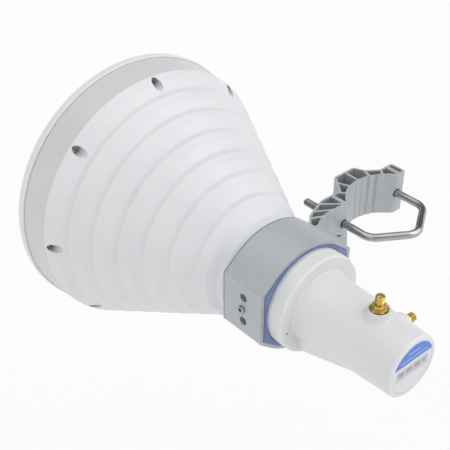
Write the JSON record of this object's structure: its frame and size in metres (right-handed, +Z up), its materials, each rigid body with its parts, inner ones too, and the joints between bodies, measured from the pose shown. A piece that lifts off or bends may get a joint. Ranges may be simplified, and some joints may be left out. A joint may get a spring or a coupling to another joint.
{
  "type": "horn antenna",
  "caption": "Round stepped horn antenna with a closed front cap, a tapered waveguide tube with two coaxial ports, and a collar with a side arm that clamps to a vertical pole.",
  "frame": {"origin": "on the axis of a 50.8 mm pole held in the clamp, level with the horn's axis", "axes": "+Z up along the pole, +Y forward along the horn's axis, +X from the horn towards the clamp"},
  "size_m": [0.2526, 0.2867, 0.208],
  "materials": {
    "white_shell": "smooth satin white plastic",
    "white_cap": "smooth satin white plastic",
    "white_housing": "smooth satin white plastic",
    "seal": "moulded rubber",
    "short_plate": "turned",
    "label": "printed film",
    "port_gold": "gold plated",
    "port_insulator": "turned white insulator",
    "grey_metal": "fine blasted light grey metal",
    "liner": "moulded blue plastic",
    "stainless": "polished stainless"
  },
  "bodies": {
    "root": {"horn_shell": "white_shell", "radome": "white_cap", "radome_seal": "seal", "radome_screws": "stainless", "rear_housing": "white_housing", "neck_seal": "seal", "back_short": "short_plate", "rear_label": "label", "top_port_barrel": "port_gold", "top_port_flange": "port_gold", "top_port_nut": "port_gold", "top_port_insulator": "port_insulator", "top_port_pin": "port_gold", "side_port_barrel": "port_gold", "side_port_flange": "port_gold", "side_port_nut": "port_gold", "side_port_insulator": "port_insulator", "side_port_pin": "port_gold", "mounting_band": "grey_metal", "band_liner": "liner", "band_set_screw": "stainless", "pole_clamp": "grey_metal", "clamp_screws": "stainless", "v_bolt": "stainless", "clamp_washers": "stainless", "clamp_nuts": "stainless"}
  },
  "joints": []
}
